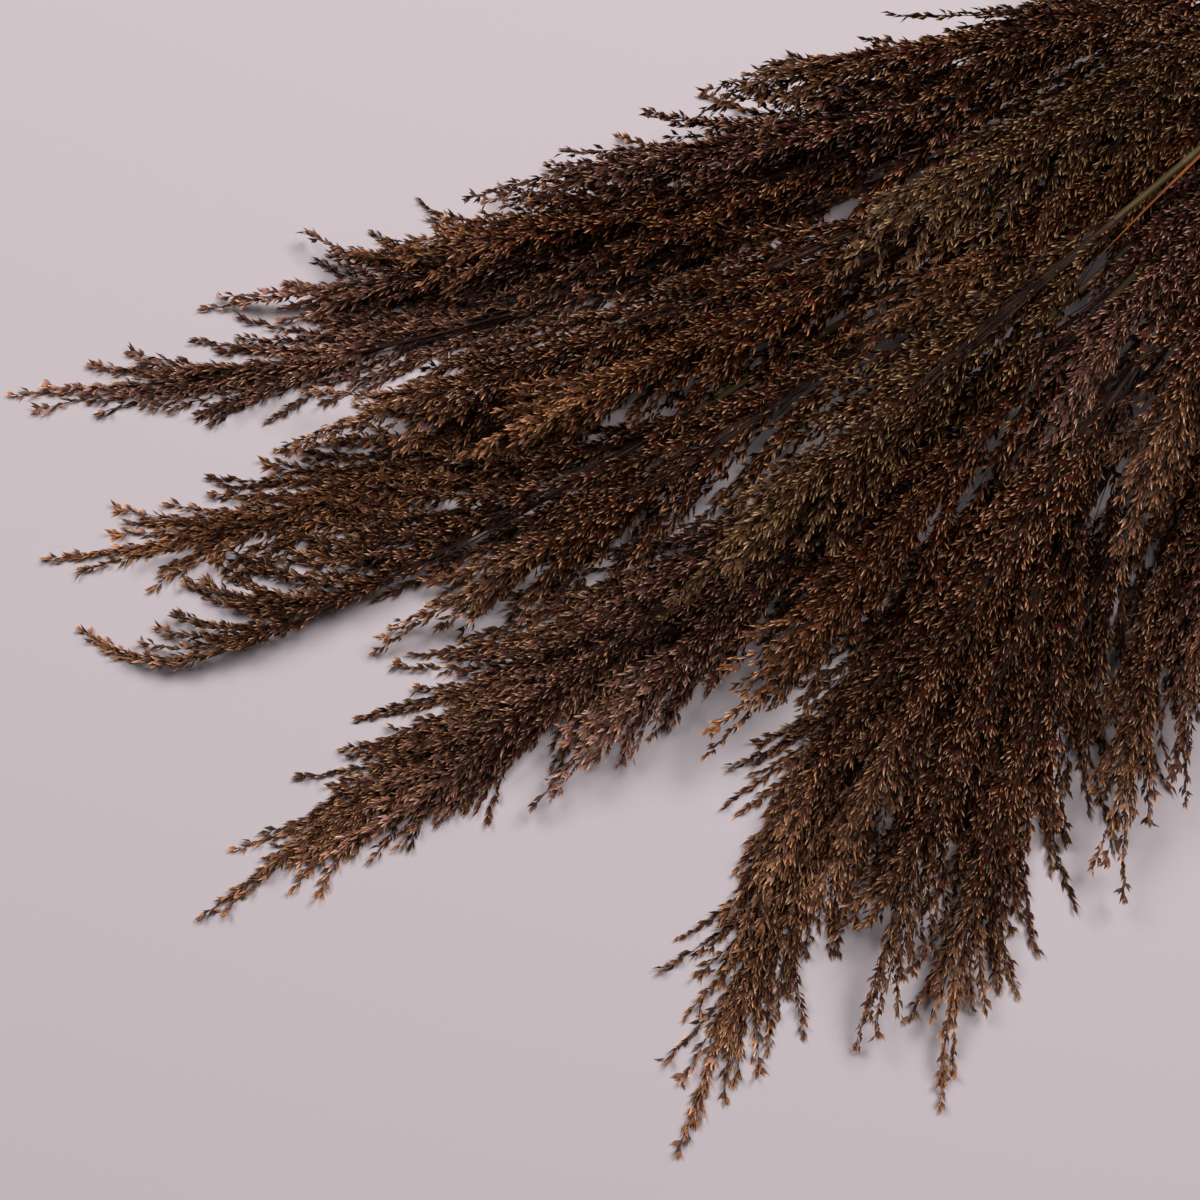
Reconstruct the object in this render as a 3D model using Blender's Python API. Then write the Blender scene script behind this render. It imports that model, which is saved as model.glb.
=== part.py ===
"""A bundle of dried reed grass, held by a rubber band and laid down with its plumes fanned out.

Metres, +Z up. The reeds run along X, with their cut ends at +X and their plumes towards -X, and the
bundle rests on the plane Z = 0. The origin is at the bottom centre of the bundle's box.

Each reed is one stem and one plume on one smooth path. The bundle is built as rows of reeds, one
above the other, and every path is worked out from its row, its place in the row, its fan angle and
its reach. A plume is modelled as the closed outer form that its sprays fill.
"""

import math

import bmesh
import bpy
from mathutils import Vector

# Stems
STEM_RADIUS_AT_CUT = 0.0026
STEM_RADIUS_AT_PLUME = 0.0020
STEM_GRID = (-0.05, -0.008, 0.008, 0.04, 0.08, 0.13, 0.19, 0.26, 0.34, 0.43, 0.53)
TAIL_LENGTH = 0.115
TAIL_STAGGER = 0.016
TAIL_FLARE = 0.35
TAIL_SAG = 0.0012
GAP = 0.0003

# Plumes
PLUME_LENGTH = 0.27
PLUME_LENGTH_GROWTH = 0.07
PLUME_HALF_WIDTH = 0.0245
PLUME_HALF_THICKNESS = 0.0080
PLUME_TIP_SHARE = 0.10
PLUME_FULLEST_AT = 0.42
PLUME_STEPS = 11
PLUME_SIDES = 10
PLUME_RIDGE = 0.13

# The fan
STEM_PITCH = 2 * STEM_RADIUS_AT_CUT + GAP
ROW_NESTING = 0.87
LOWEST_AXIS_SHARE = 0.68
STRAIGHT_AT_BAND = 0.010
BEND_LENGTH = 0.10
RISE_LENGTH = 0.30
THINNING_START = 0.50
THINNING_LENGTH = 0.50
THINNED_SHARE = 0.55
LEFT_CURL = 0.22
RIGHT_CURL = 0.28

# The rubber band
BAND_THICKNESS = 0.0016
BAND_WIDTH = 0.009
BAND_SIDES = 32
BAND_STRANDS = 3
BAND_GROOVE_SHARE = 0.55
SMOOTHING_ANGLE = math.radians(40)

# The rows of the bundle, lowest first. Each reed is (fan angle of its tip in degrees, positive
# towards -Y, distance from the band to its tip).
ROWS = (
    ((-20.2, 0.955), (-14.2, 0.972), (-2.2, 0.998), (14.0, 0.912)),
    ((-20.7, 0.825), (-9.0, 0.958), (-0.4, 0.930), (11.3, 0.810), (20.6, 0.825)),
    ((-20.0, 0.755), (-14.5, 0.830), (-5.8, 0.835), (2.2, 0.815), (17.0, 0.810), (22.5, 0.670)),
    ((-21.2, 0.675), (-10.5, 0.740), (6.6, 0.730), (13.0, 0.760), (23.4, 0.610)),
    ((-22.5, 0.530), (-4.0, 0.530), (7.3, 0.500), (22.0, 0.545)),
    ((-10.5, 0.510), (0.5, 0.700), (14.5, 0.520)),
)

# Dried leaf blades on reeds of the top row: (place in the row, start, length, lean towards +Y)
LEAVES = ((0, 0.08, 0.15, -0.020), (1, 0.19, 0.22, -0.012), (2, 0.13, 0.13, 0.022))
LEAF_HALF_WIDTH = 0.0026
LEAF_HALF_THICKNESS = 0.0004
LEAF_LIFT = 0.010
LEAF_LIFTED_AT = 0.6
LEAF_STEPS = 9

# Colour (linear RGB), roughness and metallic value of each kind of piece
FINISHES = {
    "stem": ((0.19, 0.15, 0.07), 0.55, 0.0),
    "plume": ((0.035, 0.018, 0.011), 0.85, 0.0),
    "leaf": ((0.24, 0.11, 0.035), 0.6, 0.0),
    "band": ((0.42, 0.30, 0.15), 0.5, 0.0),
}


def smooth(t):
    """0 below 0, 1 above 1, with level ends in between."""
    t = min(max(t, 0.0), 1.0)
    return t * t * (3 - 2 * t)


def mix(a, b, t):
    return a + (b - a) * t


def clear_scene():
    for obj in list(bpy.data.objects):
        bpy.data.objects.remove(obj, do_unlink=True)


def finish_of(kind):
    material = bpy.data.materials.get(kind) or bpy.data.materials.new(kind)
    colour, roughness, metallic = FINISHES[kind]
    material.use_nodes = True
    shader = material.node_tree.nodes["Principled BSDF"]
    shader.inputs["Base Color"].default_value = (*colour, 1.0)
    shader.inputs["Roughness"].default_value = roughness
    shader.inputs["Metallic"].default_value = metallic
    return material


def add_object(name, data, kind):
    obj = bpy.data.objects.new(name, data)
    bpy.context.scene.collection.objects.link(obj)
    data.materials.append(finish_of(kind))
    return obj


def lowest_stem_height():
    return BAND_THICKNESS + GAP + STEM_RADIUS_AT_CUT


def place_at_band(row, column):
    """The (y, z) of a reed where the band holds it: nested rows of touching stems."""
    y = ((len(ROWS[row]) - 1) / 2 - column) * STEM_PITCH
    return y, lowest_stem_height() + row * STEM_PITCH * ROW_NESTING


def all_places():
    return [(row, column) for row, reeds in enumerate(ROWS) for column in range(len(reeds))]


def thinning(distance):
    """How thick the layers of plumes lie, which is less towards the rim of the fan."""
    return mix(1.0, THINNED_SHARE, smooth((distance - THINNING_START) / THINNING_LENGTH))


class Reed:
    """The path and the thickness of one reed. Distance runs from 0 at the band to the plume's tip."""

    def __init__(self, row, column):
        self.row = row
        angle, reach = ROWS[row][column]
        self.tip = reach * math.cos(math.radians(angle))
        self.spread = -reach * math.sin(math.radians(angle))
        self.curl = RIGHT_CURL if angle > 0 else LEFT_CURL
        self.y_at_band, self.z_at_band = place_at_band(row, column)
        self.plume_start = self.tip - PLUME_LENGTH - PLUME_LENGTH_GROWTH * reach
        self.tail = TAIL_LENGTH - TAIL_STAGGER * ((row + 2 * column) % 4) / 3

    def plume_share(self, distance):
        return (distance - self.plume_start) / (self.tip - self.plume_start)

    def fan_share(self, distance):
        """How far the reed has fanned out, from 0 at the band to 1 at its tip."""
        bent, whole = (
            math.hypot(d, BEND_LENGTH) - BEND_LENGTH
            for d in (max(0.0, distance - STRAIGHT_AT_BAND), self.tip - STRAIGHT_AT_BAND)
        )
        curled = max(0.0, self.plume_share(distance)) ** 2
        return mix(bent / whole, curled, self.curl)

    def at(self, distance):
        """The centre of the reed. Rows keep one height at each distance, so they never cross."""
        if distance < 0:
            back = (distance / TAIL_LENGTH) ** 2
            above = self.z_at_band - lowest_stem_height()
            y = self.y_at_band * (1 + TAIL_FLARE * back)
            return Vector((-distance, y, self.z_at_band + (TAIL_FLARE * above - TAIL_SAG) * back))
        y = self.y_at_band + self.spread * self.fan_share(distance)
        layers = PLUME_HALF_THICKNESS * thinning(distance) * (LOWEST_AXIS_SHARE + 2 * self.row)
        in_plumes = layers + 3 * GAP * self.row
        rise = smooth((distance - STRAIGHT_AT_BAND) / RISE_LENGTH)
        return Vector((-distance, y, mix(self.z_at_band, in_plumes, rise)))

    def radius(self, distance):
        share = (distance + self.tail) / (self.plume_start + self.tail)
        return mix(STEM_RADIUS_AT_CUT, STEM_RADIUS_AT_PLUME, share)

    def frame(self, distance):
        """The sideways and upward directions across the reed."""
        step = 0.002
        along = (self.at(distance + step) - self.at(distance - step)).normalized()
        side = along.cross(Vector((0, 0, 1))).normalized()
        return side, side.cross(along)


def make_stem(name, reed):
    """A round rod along the reed, from its cut end to the foot of its plume."""
    start, end = -reed.tail, reed.plume_start - GAP
    distances = [start, *(d for d in STEM_GRID if d < end - STEM_RADIUS_AT_CUT), end]
    curve = bpy.data.curves.new(name, "CURVE")
    curve.dimensions = "3D"
    curve.bevel_depth = 1.0
    curve.bevel_resolution = 1
    curve.use_fill_caps = True
    spline = curve.splines.new("POLY")
    spline.points.add(len(distances) - 1)
    for point, distance in zip(spline.points, distances):
        point.co = (*reed.at(distance), 1.0)
        point.radius = reed.radius(distance)
    return add_object(name, curve, "stem")


def fullness(share):
    """The plume's width along its length, from 0 to 1: it swells quickly and thins out to its tip."""
    if share < PLUME_FULLEST_AT:
        return math.sin(0.5 * math.pi * share / PLUME_FULLEST_AT) ** 0.8
    fall = (share - PLUME_FULLEST_AT) / (1 - PLUME_FULLEST_AT)
    return mix(PLUME_TIP_SHARE, 1.0, math.cos(0.5 * math.pi * fall) ** 1.1)


def bridge_rings(name, rings, closed=False):
    """One closed mesh through rings of points: a ring of rings, or a run with its two ends filled."""
    bm = bmesh.new()
    loops = [[bm.verts.new(point) for point in ring] for ring in rings]
    sides = len(loops[0])
    following = loops[1:] + (loops[:1] if closed else [])
    for first, second in zip(loops, following):
        for k in range(sides):
            after = (k + 1) % sides
            bm.faces.new((first[k], first[after], second[after], second[k]))
    if not closed:
        bm.faces.new(loops[0][::-1])
        bm.faces.new(loops[-1])
    bmesh.ops.recalc_face_normals(bm, faces=bm.faces)
    bmesh.ops.triangulate(bm, faces=bm.faces)
    mesh = bpy.data.meshes.new(name)
    bm.to_mesh(mesh)
    bm.free()
    mesh.shade_smooth()
    mesh.set_sharp_from_angle(angle=SMOOTHING_ANGLE)
    return mesh


def make_plume(name, reed):
    """The outer form of a plume: flattened, ridged by its sprays, and pressed flat on the table."""
    rings = []
    for step in range(PLUME_STEPS + 1):
        share = step / PLUME_STEPS
        distance = mix(reed.plume_start, reed.tip, share)
        side, up = reed.frame(distance)
        centre = reed.at(distance)
        full = fullness(share)
        half_width = max(PLUME_HALF_WIDTH * full, STEM_RADIUS_AT_PLUME)
        half_thickness = max(PLUME_HALF_THICKNESS * full * thinning(distance), STEM_RADIUS_AT_PLUME)
        ring = []
        for k in range(PLUME_SIDES):
            angle = 2 * math.pi * k / PLUME_SIDES
            ridge = 1 - PLUME_RIDGE * full * (k % 2)
            across = side * (half_width * math.cos(angle)) + up * (half_thickness * math.sin(angle))
            point = centre + across * ridge
            point.z = max(point.z, 0.0)
            ring.append(point)
        rings.append(ring)
    return add_object(name, bridge_rings(name, rings), "plume")


def make_leaf(name, column, start, length, lean):
    """A dried blade that leaves its stem at a joint, rises off it and trails over the plumes."""
    reed = Reed(len(ROWS) - 1, column)
    rings = []
    for step in range(LEAF_STEPS + 1):
        share = step / LEAF_STEPS
        distance = start + length * share
        side, up = reed.frame(distance)
        clear = reed.radius(distance) + GAP + LEAF_HALF_THICKNESS
        lift = clear + LEAF_LIFT * smooth(share / LEAF_LIFTED_AT)
        centre = reed.at(distance) + up * lift + Vector((0, lean * share * share, 0))
        across = side * (LEAF_HALF_WIDTH * mix(1.0, 0.25, share))
        thick = up * LEAF_HALF_THICKNESS
        rings.append([centre - across, centre + thick, centre + across, centre - thick])
    return add_object(name, bridge_rings(name, rings), "leaf")


def band_corner(direction, offset):
    """The corner of the band's loop between two of its straight sides, offset from the stems."""
    clearance = STEM_RADIUS_AT_CUT + GAP + offset
    sides = []
    for turn in (0.0, 2 * math.pi / BAND_SIDES):
        ny, nz = math.cos(direction + turn), math.sin(direction + turn)
        places = (place_at_band(row, column) for row, column in all_places())
        sides.append((ny, nz, max(y * ny + z * nz for y, z in places) + clearance))
    (ay, az, a), (by, bz, b) = sides
    cross = ay * bz - az * by
    return (a * bz - b * az) / cross, (b * ay - a * by) / cross


def make_band(name):
    """A rubber band wound round the stems: its turns lie side by side and are joined here as ribs."""
    profile = [(-BAND_WIDTH / 2, 0.0)]
    half_rib = BAND_WIDTH / BAND_STRANDS / 2
    for strand in range(BAND_STRANDS):
        middle = BAND_WIDTH * ((strand + 0.5) / BAND_STRANDS - 0.5)
        profile.append((middle - half_rib, BAND_GROOVE_SHARE))
        profile += [(middle - half_rib / 2, 1.0), (middle + half_rib / 2, 1.0)]
    profile += [(BAND_WIDTH / 2, BAND_GROOVE_SHARE), (BAND_WIDTH / 2, 0.0)]
    rings = []
    for k in range(BAND_SIDES):
        direction = 2 * math.pi * k / BAND_SIDES
        (inner_y, inner_z), (outer_y, outer_z) = (band_corner(direction, t) for t in (0.0, BAND_THICKNESS))
        rings.append([Vector((x, mix(inner_y, outer_y, t), mix(inner_z, outer_z, t))) for x, t in profile])
    return add_object(name, bridge_rings(name, rings, closed=True), "band")


def centre_on_origin(pieces):
    """Parents every piece to one empty, placed so that the box's bottom centre is at the origin."""
    bpy.context.view_layer.update()
    graph = bpy.context.evaluated_depsgraph_get()
    corners = [Vector(c) for piece in pieces for c in piece.evaluated_get(graph).bound_box]
    low = Vector(map(min, *corners))
    high = Vector(map(max, *corners))
    bundle = bpy.data.objects.new("bundle", None)
    bpy.context.scene.collection.objects.link(bundle)
    bundle.location = (-(low.x + high.x) / 2, -(low.y + high.y) / 2, -low.z)
    for piece in pieces:
        piece.parent = bundle


def main():
    clear_scene()
    pieces = []
    for number, place in enumerate(all_places(), 1):
        reed = Reed(*place)
        pieces.append(make_stem(f"stem_{number:02d}", reed))
        pieces.append(make_plume(f"plume_{number:02d}", reed))
    for number, leaf in enumerate(LEAVES, 1):
        pieces.append(make_leaf(f"leaf_blade_{number}", *leaf))
    pieces.append(make_band("rubber_band"))
    centre_on_origin(pieces)


main()
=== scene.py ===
# %% [markdown]
# # A bundle of dried reed grass
#
# A sheaf of reeds, held by a rubber band near its cut ends, lies on a table with its plumes spread
# out in a fan. Each reed is a bare hollow stem with a plume on top: a thin rachis with some ninety
# branches, called sprays here. A spray is a bare wire at first, and then carries dozens of
# spikelets: dry husks 7 mm long, dark at the foot and tan at the tip.
#
# This lesson builds it from the smallest thing up: a spikelet, a few sprays of spikelets, then a
# plume of sprays for each plume solid of the frame. The stems, leaf blades and rubber band follow.

# %% The frame
import math

import bmesh
import bpy
import numpy as np
from mathutils import Matrix, Vector


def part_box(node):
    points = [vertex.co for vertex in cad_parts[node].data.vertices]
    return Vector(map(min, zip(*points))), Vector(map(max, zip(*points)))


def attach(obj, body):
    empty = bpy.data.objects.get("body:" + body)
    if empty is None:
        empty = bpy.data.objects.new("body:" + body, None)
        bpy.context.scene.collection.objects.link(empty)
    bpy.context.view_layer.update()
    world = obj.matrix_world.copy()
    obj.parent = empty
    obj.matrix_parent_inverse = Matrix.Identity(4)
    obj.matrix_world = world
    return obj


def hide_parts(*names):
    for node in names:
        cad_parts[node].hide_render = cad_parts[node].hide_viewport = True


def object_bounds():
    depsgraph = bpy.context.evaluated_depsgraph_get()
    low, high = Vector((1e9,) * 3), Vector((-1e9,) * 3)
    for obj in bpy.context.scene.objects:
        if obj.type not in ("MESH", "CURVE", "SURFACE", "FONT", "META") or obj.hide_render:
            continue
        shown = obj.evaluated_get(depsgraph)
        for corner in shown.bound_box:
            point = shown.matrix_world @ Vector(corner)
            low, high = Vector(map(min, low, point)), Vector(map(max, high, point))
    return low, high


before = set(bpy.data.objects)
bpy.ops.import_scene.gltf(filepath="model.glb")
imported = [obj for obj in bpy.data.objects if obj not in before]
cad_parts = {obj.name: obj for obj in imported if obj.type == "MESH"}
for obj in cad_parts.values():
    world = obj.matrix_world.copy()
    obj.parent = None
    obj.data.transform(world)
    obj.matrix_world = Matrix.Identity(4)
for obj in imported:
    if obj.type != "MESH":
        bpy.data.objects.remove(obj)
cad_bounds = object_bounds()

bpy.ops.object.select_all(action="DESELECT")
plume_nodes = sorted(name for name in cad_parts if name.startswith("plume_"))
stem_nodes = sorted(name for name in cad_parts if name.startswith("stem_"))
leaf_nodes = sorted(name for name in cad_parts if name.startswith("leaf_blade_"))
CAD_LOW, CAD_HIGH = (np.array(corner) for corner in cad_bounds)
print("frame:", len(plume_nodes), "plumes,", len(stem_nodes), "stems, box", CAD_LOW, CAD_HIGH)

# %% [markdown]
# ## Camera, light and table
#
# The bundle is seen from nearly straight above, a little from its plumes' side. One large soft
# lamp, high up beyond the stems, casts the soft shadows that hug the tips, and a weaker one on the
# +Y side keeps them open. A wide plain table with a hint of pink lies under it all.

# %% Camera
VIEW_AZIMUTH = math.radians(-40)
VIEW_ELEVATION = math.radians(77)
VIEW_WIDTH = 0.66
LENS = 70.0
SENSOR = 36.0
band_low, band_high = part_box("rubber_band")
BAND_CENTRE = (band_low + band_high) / 2
VIEW_CENTRE = Vector((BAND_CENTRE.x - 0.725, BAND_CENTRE.y + 0.026, 0.03))


def look_from(azimuth, elevation, distance, target):
    """A matrix that places a camera or lamp, looking at a point from an azimuth and elevation."""
    level = Vector((-math.sin(azimuth), math.cos(azimuth), 0.0))
    place = target - level * (distance * math.cos(elevation))
    place += Vector((0, 0, distance * math.sin(elevation)))
    turn = (target - place).to_track_quat("-Z", "Y").to_matrix().to_4x4()
    return Matrix.Translation(place) @ turn


bpy.ops.object.camera_add()
camera = bpy.context.object
camera.data.lens = LENS
camera.data.sensor_width = SENSOR
camera.data.clip_end = 50
camera.matrix_world = look_from(VIEW_AZIMUTH, VIEW_ELEVATION, VIEW_WIDTH * LENS / SENSOR, VIEW_CENTRE)
bpy.context.scene.camera = camera
bpy.context.scene.view_settings.view_transform = "Standard"
print("camera at", [round(v, 2) for v in camera.location])


# %% Lamps
LAMP_SIZE = 2.0
LAMP_DISTANCE = 4.2
LAMP_ELEVATION = math.radians(52)
LAMP_COLOUR = (1.0, 0.985, 0.97)
STUDIO_COLOUR = (1.0, 0.94, 0.97, 1)
STUDIO_STRENGTH = 0.05


def add_lamp(name, power, azimuth):
    bpy.ops.object.light_add(type="AREA")
    lamp = bpy.context.object
    lamp.name = name
    lamp.data.shape = "SQUARE"
    lamp.data.size = LAMP_SIZE
    lamp.data.energy = power
    lamp.data.color = LAMP_COLOUR
    lamp.matrix_world = look_from(azimuth, LAMP_ELEVATION, LAMP_DISTANCE, VIEW_CENTRE)


add_lamp("right_lamp", 130.0, VIEW_AZIMUTH + math.radians(130))
add_lamp("left_lamp", 84.0, VIEW_AZIMUTH + math.radians(225))
world = bpy.data.worlds.new("studio")
world.use_nodes = True
background = world.node_tree.nodes["Background"]
background.inputs["Color"].default_value = STUDIO_COLOUR
background.inputs["Strength"].default_value = STUDIO_STRENGTH
bpy.context.scene.world = world


# %% Table
TABLE_SIZE = 30.0
TABLE_COLOUR = (0.62, 0.552, 0.59, 1)


def new_material(name, roughness=0.5, gloss=0.5):
    """A material with its nodes and its Principled shader."""
    material = bpy.data.materials.new(name)
    material.use_nodes = True
    shader = material.node_tree.nodes["Principled BSDF"]
    shader.inputs["Roughness"].default_value = roughness
    shader.inputs["Specular IOR Level"].default_value = gloss
    return material, material.node_tree, shader


bpy.ops.mesh.primitive_plane_add(size=TABLE_SIZE)
table = bpy.context.object
table.name = "table"
table_finish, _, table_shader = new_material("pale_table", 0.75, 0.3)
table_shader.inputs["Base Color"].default_value = TABLE_COLOUR
table.data.materials.append(table_finish)

# %% [markdown]
# ## One spikelet
#
# A spikelet is a narrow pointed husk with a keel. A cone with three sides has just four faces, and
# with one corner of its base pulled back to the foot it becomes such a husk: foot, tip and two
# cheeks. Well over 100,000 are needed, so four faces each is what the bundle can afford. Nearly
# half of the spikelets gape into two husks, which gives the forked tips.

# %% Spikelet
SPIKELET_LENGTH = 0.0070
CHEEK_AT = 0.42
CHEEK_HALF_WIDTH = 0.00100
CHEEK_DROP = 0.0008
GAPE = math.radians(12)
SECOND_HUSK = 0.86


def model_husk(length, lean):
    """A husk along +X from its foot at the origin, made from a cone with three sides."""
    bpy.ops.mesh.primitive_cone_add(vertices=3, radius1=CHEEK_HALF_WIDTH, radius2=0, depth=length)
    husk = bpy.context.object
    bpy.ops.object.mode_set(mode="EDIT")
    edit = bmesh.from_edit_mesh(husk.data)
    edit.verts.ensure_lookup_table()
    tip = max(edit.verts, key=lambda v: v.co.z)
    base = [v for v in edit.verts if v is not tip]
    foot = max(base, key=lambda v: v.co.y)
    cheeks = [v for v in base if v is not foot]
    tip.co = (length, 0, 0)
    foot.co = (0, 0, 0)
    for cheek, side in zip(sorted(cheeks, key=lambda v: v.co.x), (-1, 1)):
        cheek.co = (CHEEK_AT * length, side * CHEEK_HALF_WIDTH, -CHEEK_DROP)
    bmesh.ops.recalc_face_normals(edit, faces=edit.faces)
    bmesh.update_edit_mesh(husk.data)
    bpy.ops.object.mode_set(mode="OBJECT")
    husk.data.transform(Matrix.Rotation(lean, 4, "Z"))
    return husk


def take_mesh(piece):
    """The corners and triangles of a modelled piece, which is then removed."""
    edit = bmesh.new()
    edit.from_mesh(piece.data)
    bmesh.ops.triangulate(edit, faces=edit.faces)
    corners = np.array([v.co for v in edit.verts])
    triangles = np.array([[v.index for v in face.verts] for face in edit.faces])
    edit.free()
    bpy.data.objects.remove(piece, do_unlink=True)
    return corners, triangles


closed_spikelet = take_mesh(model_husk(SPIKELET_LENGTH, 0.0))
first, its_triangles = take_mesh(model_husk(SPIKELET_LENGTH, GAPE))
second, triangles = take_mesh(model_husk(SPIKELET_LENGTH * SECOND_HUSK, -GAPE))
open_spikelet = np.concatenate([first, second]), np.concatenate([its_triangles, triangles + len(first)])
print("spikelets:", len(closed_spikelet[1]), "and", len(open_spikelet[1]), "faces")

# %% [markdown]
# ## Sprays
#
# The end of a spray is a thin wire with short branchlets close against it, set in a spiral, and
# each branchlet carries one to five spikelets, pointing forwards. Ten straight models of different
# lengths are made here. A spray is kept as arrays of numbers, because arrays can be bent along a
# path and joined by the thousand, where a modifier on each would take minutes.

# %% Arrays of corners and faces
HUSK, WIRE, RACHIS = 0, 1, 2


class Sheaf:
    """Corners, triangles, a finish for each triangle and values for each corner, added part by part."""

    def __init__(self):
        self.corners, self.triangles, self.finishes, self.values = [], [], [], {}
        self.count = 0

    def add(self, corners, triangles, finish=HUSK, **values):
        self.corners.append(corners)
        self.triangles.append(triangles + self.count)
        self.finishes.append(np.broadcast_to(finish, len(triangles)))
        for label, value in values.items():
            shape = (len(corners), *np.shape(value)[1:])
            self.values.setdefault(label, []).append(np.broadcast_to(value, shape))
        self.count += len(corners)

    def joined(self):
        values = {label: np.concatenate(parts) for label, parts in self.values.items()}
        return *(np.concatenate(part) for part in (self.corners, self.triangles, self.finishes)), values


# Nothing here points exactly this way, so a cross product with it never vanishes
ASKEW = (0.31, 0.22, 0.92)


def unit(vectors):
    return vectors / np.maximum(np.linalg.norm(vectors, axis=-1, keepdims=True), 1e-9)


def between(ends, share):
    return ends[0] + (ends[1] - ends[0]) * share


def turned_frame(forward, roll):
    """Three directions as rows: forward, and two across it that are turned by roll."""
    forward = unit(forward)
    across = unit(np.cross(forward, ASKEW))
    upward = np.cross(forward, across)
    return np.array([
        forward,
        across * math.cos(roll) + upward * math.sin(roll),
        upward * math.cos(roll) - across * math.sin(roll),
    ])


def make_mesh(name, sheaf, finishes, smooth_angle=None):
    """One object of all that a sheaf holds, with its values as attributes."""
    corners, triangles, finish, values = sheaf.joined()
    mesh = bpy.data.meshes.new(name)
    mesh.from_pydata(corners, [], triangles)
    for label, value in values.items():
        kind, key = ("FLOAT", "value") if value.ndim == 1 else ("FLOAT_VECTOR", "vector")
        mesh.attributes.new(label, kind, "POINT").data.foreach_set(key, value.astype(np.float32).ravel())
    for material in finishes:
        mesh.materials.append(material)
    mesh.polygons.foreach_set("material_index", finish.astype(np.int32))
    mesh.update()
    if smooth_angle:
        mesh.shade_smooth()
        mesh.set_sharp_from_angle(angle=smooth_angle)
    piece = bpy.data.objects.new(name, mesh)
    bpy.context.scene.collection.objects.link(piece)
    return piece


# %% Spray models
BRANCHLET_STEP = 0.0056
BRANCHLET_LENGTHS = (0.0120, 0.0066)
STALKED_BRANCHLET = 0.0085
SPIKELET_STEP = 0.0026
GOLDEN_TURN = 2.4
WIRE_RADIUS = 0.00034
STALK_RADIUS = 0.6 * WIRE_RADIUS
GAPING_SHARE = 0.45
SPIKELET_SIZES = (0.82, 1.14)
BRANCHLET_LEANS = (6, 14)
SPIKELET_LEANS = (10, 34)


def add_spikelet(sheaf, place, forward, random):
    corners, triangles = open_spikelet if random.random() < GAPING_SHARE else closed_spikelet
    size = random.uniform(*SPIKELET_SIZES)
    turned = (corners * size) @ turned_frame(forward, random.uniform(0, 2 * math.pi)) + place
    along, edge = corners[:, 0] / SPIKELET_LENGTH, -corners[:, 2] / CHEEK_DROP
    sheaf.add(turned, triangles, HUSK, along=along, edge=edge, tone=random.random())


def add_stalk(sheaf, start, end):
    """A wire that narrows to a point: three corners round its start and one at its end."""
    rows = turned_frame(end - start, 0.0)
    turns = np.array([(math.cos(a), math.sin(a)) for a in (0, 2.1, 4.2)])
    ring = start + STALK_RADIUS * (turns @ rows[1:])
    triangles = np.array([(0, 2, 1), (0, 1, 3), (1, 2, 3), (2, 0, 3)])
    sheaf.add(np.concatenate([ring, [end]]), triangles, WIRE, along=0.0, edge=0.0, tone=0.5)


def model_spray(length, random):
    """A straight spray along +X: branchlets in a spiral, longest near the foot, with spikelets."""
    sheaf = Sheaf()
    place, turn = 0.0, random.uniform(0, 2 * math.pi)
    while place < length - 0.5 * SPIKELET_LENGTH:
        share = place / length
        reach = between(BRANCHLET_LENGTHS, share**1.2)
        reach = min(reach * random.uniform(0.65, 1.15), length - place)
        lean = math.radians(random.uniform(*BRANCHLET_LEANS))
        outwards = np.array((0, math.cos(turn), math.sin(turn)))
        along = np.array((math.cos(lean), 0, 0)) + outwards * math.sin(lean)
        start = np.array((place, 0, 0))
        if reach > STALKED_BRANCHLET:
            add_stalk(sheaf, start, start + along * reach)
        for k in range(max(1, round(reach / SPIKELET_STEP))):
            spread = math.radians(random.uniform(*SPIKELET_LEANS))
            around = random.uniform(0, 2 * math.pi)
            across = turned_frame(along, around)[1]
            forward = along * math.cos(spread) + across * math.sin(spread)
            add_spikelet(sheaf, start + along * (k + 0.4) * SPIKELET_STEP, forward, random)
        place += BRANCHLET_STEP * random.uniform(0.75, 1.25)
        turn += GOLDEN_TURN + random.uniform(-0.4, 0.4)
    add_spikelet(sheaf, np.array((length - 0.004, 0, 0)), np.array((1.0, 0, 0)), random)
    return sheaf.joined()


SPRAY_LENGTHS = (0.030, 0.038, 0.046, 0.055, 0.064, 0.073, 0.082, 0.090, 0.098, 0.106)
spray_random = np.random.default_rng(7)
spray_models = [model_spray(length, spray_random) for length in SPRAY_LENGTHS]
print("sprays:", [len(model[1]) for model in spray_models], "faces")

# %% [markdown]
# ## Finishes of the plumes
#
# All spikelets share one pattern of colour, so it is a node group: nearly black at the foot, brown
# in the middle and golden tan along the keel towards the tip, some lighter than others, with fine
# veins. Husks at a plume's end and low over the table get painted light: the light that shines
# through them and bounces up from the table is painted into their colour, so all three of their
# colours are lighter shades of the tip's. The plumes differ among themselves, so the group is
# placed in four materials, each with its own three colours.


# %% Node helpers
def link(tree, *pairs):
    for source, target in pairs:
        tree.links.new(source, target)


def add_node(tree, kind, **settings):
    node = tree.nodes.new(kind)
    for key, value in settings.items():
        setattr(node, key, value)
    return node


def value_of(tree, name):
    """The output that reads a piece's own attribute."""
    return add_node(tree, "ShaderNodeAttribute", attribute_name=name).outputs["Fac"]


def step_between(tree, source, low, high, to_low=0.0, to_high=1.0):
    """A smooth step from to_low to to_high as the source goes from low to high."""
    node = add_node(tree, "ShaderNodeMapRange", interpolation_type="SMOOTHSTEP")
    for socket, value in zip(("From Min", "From Max", "To Min", "To Max"), (low, high, to_low, to_high)):
        node.inputs[socket].default_value = value
    link(tree, (source, node.inputs["Value"]))
    return node.outputs["Result"]


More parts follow.
